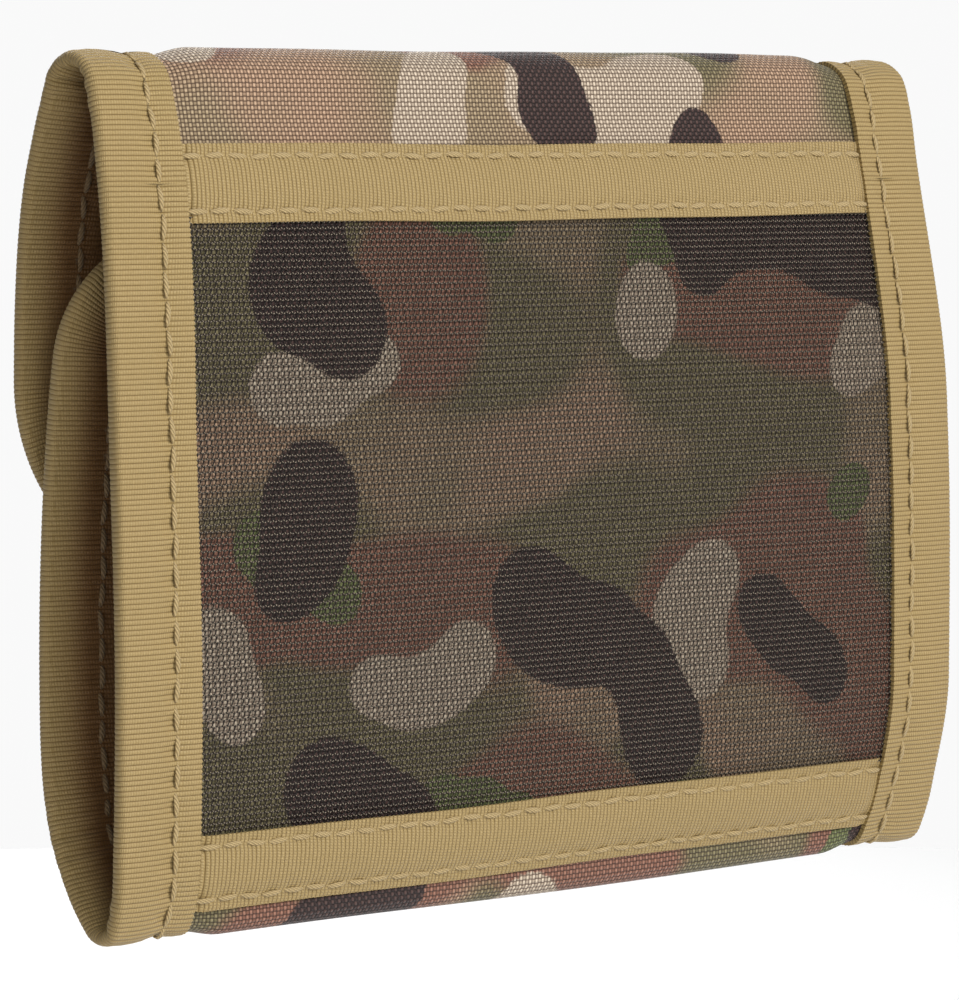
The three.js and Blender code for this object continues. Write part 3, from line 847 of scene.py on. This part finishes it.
def outer_depth(x, s):
    """The outer cloth lies lower under its bindings, and fills out between them at folds."""
    clear = ease(HALF - BINDING_SEEN - np.abs(x), -1 * MM, 6 * MM)
    top = ease(s, TOP_FOLD - 7 * MM, TOP_FOLD) * (1 - ease(s, FLAP_FOLD, FLAP_FOLD + 7 * MM))
    bottom = (ease(s, FRONT_FOLD - 7 * MM, FRONT_FOLD)
              * (1 - ease(s, BOTTOM_FOLD, BOTTOM_FOLD + 4 * MM)))
    under = 1 - ease(from_edge(x, s), 8.6 * MM, 10.6 * MM)
    return stack("cloth", s) + UNDER_BINDING * under - FULLNESS * clear * (top + bottom)


def lining_depth(x, s):
    return stack("lining", s)


OUTER_STEP, INNER_STEP = 0.95 * MM, 1.4 * MM
for name, start, stop, where, corner, nodes in (
        ("outer_cloth_front", FRONT_TOP + PANEL_EDGE, MID_BOTTOM, "front_fold",
         (FRONT_TOP + PANEL_EDGE, FRONT_CORNER - PANEL_EDGE, -1), ["front_shell"]),
        ("outer_cloth_back", MID_BOTTOM, SEAM, "bottom_fold", None,
         ["bottom_spine_shell", "back_shell"]),
        ("outer_cloth_top", SEAM, MID_TOP, "top_fold", None, ["top_spine_shell"]),
        ("outer_cloth_flap", MID_TOP, END - PANEL_EDGE, "flap_fold",
         (END - PANEL_EDGE, FLAP_CORNER - PANEL_EDGE, 1), ["flap_shell"])):
    piece = cloth(name, CLOTH_HALF, start, stop, outer_depth, CLOTH, PRINT, OUTER_STEP,
                  corner, printed=True)
    join_frame(piece, "printed_fabric", where, *nodes)

for name, start, stop, where, corner, nodes in (
        ("lining_front", FRONT_TOP + PANEL_EDGE, MID_BOTTOM, "front_fold",
         (FRONT_TOP + PANEL_EDGE, FRONT_CORNER - PANEL_EDGE, -1), ["front_lining"]),
        ("lining_back", MID_BOTTOM, MID_BACK, "bottom_fold", None,
         ["bottom_spine_lining", "back_lining"]),
        ("lining_top", MID_BACK, MID_TOP, "top_fold", None, ["top_spine_lining"]),
        ("lining_flap", MID_TOP, END - PANEL_EDGE, "flap_fold",
         (END - PANEL_EDGE, FLAP_CORNER - PANEL_EDGE, 1), ["flap_lining"])):
    piece = cloth(name, CLOTH_HALF, start, stop, lining_depth, LINING, LINED, INNER_STEP,
                  corner)
    join_frame(piece, "lining_fabric", where, *nodes)

# ---------------------------------------------------------------- bindings
BOUND = folded_section()
edges = [
    ("flap_binding_tape", u_route(MID_TOP, END, FLAP_CORNER), "flap_fold", ["flap_binding"]),
    ("front_binding_tape", u_route(MID_BOTTOM, FRONT_TOP, FRONT_CORNER), "front_fold",
     ["front_binding"]),
]
for side, hand in (("left", -1.0), ("right", 1.0)):
    edges += [
        (f"top_binding_tape_{side}", side_route(hand, SEAM, MID_TOP), "top_fold",
         [f"top_spine_binding_{side}"]),
        (f"back_binding_tape_{side}", side_route(hand, MID_BOTTOM, SEAM), "bottom_fold",
         [f"bottom_spine_binding_{side}", f"back_binding_{side}"]),
    ]
for name, route, where, nodes in edges:
    piece = ribbon(name, route, BOUND, [7.6 * MM, 7.6 * MM - INNER_SHORT])
    join_frame(piece, "binding_tape", where, *nodes)
    for leg, inset, level, facing, thread in (
            ("outer", BINDING_STITCH, 0.16 * MM, 1, THREAD),
            ("inner", BINDING_STITCH - INNER_SHORT, inner_leg, -1, SHADED_INNER_THREAD)):
        row = stitches(f"{name}_stitches_{leg}", route, inset, level, facing, thread=thread)
        join_frame(row, "binding_tape", where)

# ---------------------------------------------------------------- the window
TAPE_ENDS = HALF - BINDING_SEEN + 0.6 * MM
LOWEST = travel[np.argmin(curve[:, 1])]
LOW_TAPE, HIGH_TAPE = 3.0 * MM, 81.0 * MM
TAPE_WIDTH, TAPE_STITCH = 9.0, 1.35
mesh = cloth("window_mesh_sheet", TAPE_ENDS + 0.6 * MM, on_back(LOW_TAPE + 8.2 * MM),
             on_back(HIGH_TAPE + 0.8 * MM), 0.55 * MM, 0, MESH, 1.6 * MM)
join_frame(mesh, "window_mesh", "back", "window_mesh")
for name, height in (("bottom", LOW_TAPE), ("top", HIGH_TAPE)):
    foot = on_run(height, LOWEST, TOP_FOLD)
    route = cross_route(TAPE_ENDS, foot)
    strip = ribbon(f"window_tape_strip_{name}", route, flat_section(TAPE_WIDTH, 0.5, TAPE_STITCH),
                   [TAPE_STITCH * MM, (TAPE_WIDTH - TAPE_STITCH) * MM], base=0.04 * MM,
                   tuck=0.45 * MM)
    join_frame(strip, "flat_tape", "back", f"window_tape_{name}")
    for line, inset in (("low", TAPE_STITCH), ("high", TAPE_WIDTH - TAPE_STITCH)):
        row = stitches(f"window_tape_stitches_{name}_{line}",
                       cross_route(TAPE_ENDS - 0.4 * MM, foot), inset * MM, 0.12 * MM)
        join_frame(row, "flat_tape", "back")

# ---------------------------------------------------------------- boards inside the panels
for name, start, stop, corner, body, node, depth in (
        ("back_board", on_back(0.008), on_back(0.091), None, "back", "back_stiffener", 2.0),
        ("flap_board", on_flap(0.091), END - 8 * MM, (END - 8 * MM, FLAP_CORNER - 8 * MM, 1),
         "flap", "flap_stiffener", 1.75),
        ("front_board", FRONT_TOP + 8 * MM, on_front(0.018),
         (FRONT_TOP + 8 * MM, FRONT_CORNER - 8 * MM, -1), "front", "front_stiffener", 1.75)):
    piece = cloth(name, HALF - 8 * MM, start, stop, depth * MM, 0.75 * MM, FOAM, 2.5 * MM,
                  corner, soft=False)
    join_frame(piece, "foam_board", body, node)

# ---------------------------------------------------------------- note divider, card pockets
POCKET_FOOT, POCKET_STITCH = 14.2, 1.3 * MM
for name, half, top, depth, node, tape_node in (
        ("note_divider_sheet", 53.7, 78.6, 3.75, "note_divider", None),
        ("card_pocket_sheet_upper", 50.7, 61.8, 4.45, "card_pocket_upper",
         "card_pocket_upper_tape"),
        ("card_pocket_sheet_lower", 50.7, 45.9, 5.15, "card_pocket_lower",
         "card_pocket_lower_tape")):
    foot, head = on_back(POCKET_FOOT * MM), on_back(top * MM)
    piece = cloth(name, half * MM, foot, head, depth * MM, LINING, LINED, INNER_STEP)
    join_frame(piece, "lining_fabric", "back", node)
    face = (depth + 0.4) * MM
    rows = [("left", side_route(-1.0, foot + MM, head - MM)),
            ("right", side_route(1.0, foot + MM, head - MM))]
    for side, route in rows:
        join_frame(stitches(f"{name}_stitches_{side}", route, HALF - half * MM + POCKET_STITCH,
                            face, -1, loose=True), "lining_fabric", "back")
    join_frame(stitches(f"{name}_stitches_foot", cross_route((half - 1) * MM, foot),
                        POCKET_STITCH, face, -1, loose=True), "lining_fabric", "back")
    if tape_node:
        edge = head - 5 * MM
        strip = ribbon(f"{name}_tape", cross_route(half * MM, edge), flat_section(5, 0.4, 1.1),
                       [1.1 * MM, 3.9 * MM], base=face + 0.45 * MM, facing=-1)
        join_frame(strip, "flat_tape", "back", tape_node)
        for line, inset in (("low", 1.1), ("high", 3.9)):
            join_frame(stitches(f"{name}_tape_stitches_{line}", cross_route(half * MM, edge),
                                inset * MM, face + 0.36 * MM, -1, 0.8), "flat_tape", "back")
    else:
        join_frame(stitches(f"{name}_stitches_head", cross_route((half - 1) * MM, head),
                            -2.5 * MM, face, -1, loose=True), "lining_fabric", "back")

# ---------------------------------------------------------------- the zipped coin pocket
ZIP_LINE = on_front(0.034)
ZIP_HALF, ZIP_DEPTH, COIN_DEPTH, COIN_RISE = 48 * MM, 5.15 * MM, 5.65 * MM, 2.4 * MM


def coin_panel(name, opening, far, node):
    """Half of the coin pocket, sewn down to the lining round its three far sides."""
    def depth(x, s):
        rise = ease(np.abs(s - far), 0.8 * MM, 5 * MM) * ease(53.7 * MM - np.abs(x), MM, 5 * MM)
        return COIN_DEPTH - COIN_RISE * (1 - rise)

    piece = cloth(name, 53.7 * MM, min(opening, far), max(opening, far), depth, LINING, LINED,
                  1.2 * MM)
    join_frame(piece, "lining_fabric", "front", node)
    inward = 1.0 if far < opening else -1.0
    level = COIN_DEPTH - COIN_RISE + 0.45 * MM
    join_frame(stitches(f"{name}_stitches_far", cross_route(52 * MM, far, inward), 0.9 * MM,
                        level, -1, loose=True), "lining_fabric", "front")
    join_frame(stitches(f"{name}_stitches_zip", cross_route(49 * MM, opening, -inward),
                        1.4 * MM, COIN_DEPTH + 0.38 * MM, -1, loose=True),
               "lining_fabric", "front")


coin_panel("coin_pocket_panel_upper", ZIP_LINE - 4.6 * MM, on_front(0.0575), "coin_pocket_upper")
coin_panel("coin_pocket_panel_lower", ZIP_LINE + 4.6 * MM, on_front(0.0150), "coin_pocket_lower")
for name, hand in (("upper", -1), ("lower", 1)):
    near, wide = ZIP_LINE + hand * 1.7 * MM, ZIP_LINE + hand * 8 * MM
    piece = cloth(f"zip_tape_strip_{name}", 49 * MM, min(near, wide), max(near, wide),
                  ZIP_DEPTH - 0.25 * MM, 0.4 * MM, ZIP_TAPE, 0.9 * MM)
    join_frame(piece, "zip_tape", "front", f"zip_tape_{name}")
    coil = copies(f"zip_coil_turns_{name}", cross_route(ZIP_HALF, ZIP_LINE), 1.1 * MM,
                  (0.40 * MM, 0.95 * MM, 0.62 * MM), hand * 1.05 * MM, ZIP_DEPTH, COIL, 0, -1, 0)
    join_frame(coil, "zip_coil", "front", f"zip_coil_{name}")
for node in ("zip_stop_closed", "zip_stop_open", "zip_slider", "zip_pull"):
    for slot in frame["nodes"][node].material_slots:
        slot.material = METAL

# ---------------------------------------------------------------- hook and loop patches
for name, start, stop, depth, thick, material, body, node, facing in (
        ("hook", on_flap(0.065), on_flap(0.052), 3.4, 0.8, HOOKS, "flap", "hook_patch", -1),
        ("loop", on_front(0.065), on_front(0.052), -1.1, 1.6, LOOPS, "front", "loop_patch", 1)):
    piece = cloth(f"{name}_patch_sheet", 35 * MM, start, stop, depth * MM, thick * MM, material,
                  0.8 * MM)
    join_frame(piece, f"{name}_tape", body, node)
    face = (depth + (thick if facing < 0 else 0)) * MM
    lines = [("high", cross_route(34.5 * MM, start), 1.2 * MM),
             ("low", cross_route(34.5 * MM, stop), -1.2 * MM),
             ("left", side_route(-1.0, start + MM, stop - MM), HALF - 33.8 * MM),
             ("right", side_route(1.0, start + MM, stop - MM), HALF - 33.8 * MM)]
    for line, route, inset in lines:
        join_frame(stitches(f"{name}_patch_stitches_{line}", route, inset, face, facing,
                            loose=True), f"{name}_tape", body)

# ---------------------------------------------------------------- floor, light and camera
AIM = Vector((-0.0123, -0.0095, 0.048))
FLOOR_HEIGHT, FLOOR_RADIUS = -0.14, 1.0
LIGHT_DISTANCE = 1.2
LIGHT_OF_ROOM, WHITE_OF_BACKDROP = 0.24, 0.95


def floor():
    deselect()
    bpy.ops.mesh.primitive_circle_add(vertices=96, radius=FLOOR_RADIUS, fill_type="NGON",
                                      location=(0, 0, FLOOR_HEIGHT))
    piece = bpy.context.object
    piece.name = "studio_floor"
    bpy.ops.object.transform_apply(location=True, rotation=True, scale=True)
    shader = Shader("studio_floor", Roughness=0.9)
    shader.set(Base_Color=(0.93, 0.93, 0.93))
    piece.data.materials.append(shader.material)


def soft_light(name, size, power, direction):
    deselect()
    place = AIM + Vector(direction).normalized() * LIGHT_DISTANCE
    bpy.ops.object.light_add(type="AREA", location=place)
    lamp = bpy.context.object
    lamp.name = name
    lamp.data.energy, lamp.data.size = power, size
    lamp.rotation_euler = (AIM - place).to_track_quat("-Z", "Y").to_euler()


floor()
soft_light("light_front", 0.7, 13.5, (0.25, -1.0, 0.6))
soft_light("light_left", 0.6, 4, (-0.6, -1.0, 0.3))
soft_light("light_behind", 0.9, 8, (0.5, 1.0, 0.6))
soft_light("light_above", 0.8, 3, (0.1, -0.1, 1.0))

world = bpy.data.worlds.new("studio")
bpy.context.scene.world = world
world.use_nodes = True
sky, studio_nodes = world.node_tree.nodes["Background"], world.node_tree.nodes
sky.inputs["Color"].default_value = (1, 1, 1, 1)
sky.inputs["Strength"].default_value = LIGHT_OF_ROOM
backdrop = studio_nodes.new("ShaderNodeBackground")
backdrop.inputs["Color"].default_value = (1, 1, 1, 1)
backdrop.inputs["Strength"].default_value = WHITE_OF_BACKDROP
seen, choice = studio_nodes.new("ShaderNodeLightPath"), studio_nodes.new("ShaderNodeMixShader")
for start, end in ((seen.outputs["Is Camera Ray"], choice.inputs[0]),
                   (sky.outputs[0], choice.inputs[1]), (backdrop.outputs[0], choice.inputs[2]),
                   (choice.outputs[0], studio_nodes["World Output"].inputs[0])):
    world.node_tree.links.new(start, end)
bpy.context.scene.view_settings.view_transform = "Standard"

deselect()
azimuth, elevation, distance = math.radians(-41.03), math.radians(4.24), 0.5784
offset = Vector((math.sin(azimuth) * math.cos(elevation),
                 -math.cos(azimuth) * math.cos(elevation), math.sin(elevation))) * distance
bpy.ops.object.camera_add(location=AIM + offset)
camera = bpy.context.object
camera.rotation_euler = (-offset).to_track_quat("-Z", "Y").to_euler()
camera.data.lens = 176.6
camera.data.clip_start, camera.data.clip_end = 0.05, 50
bpy.context.scene.camera = camera
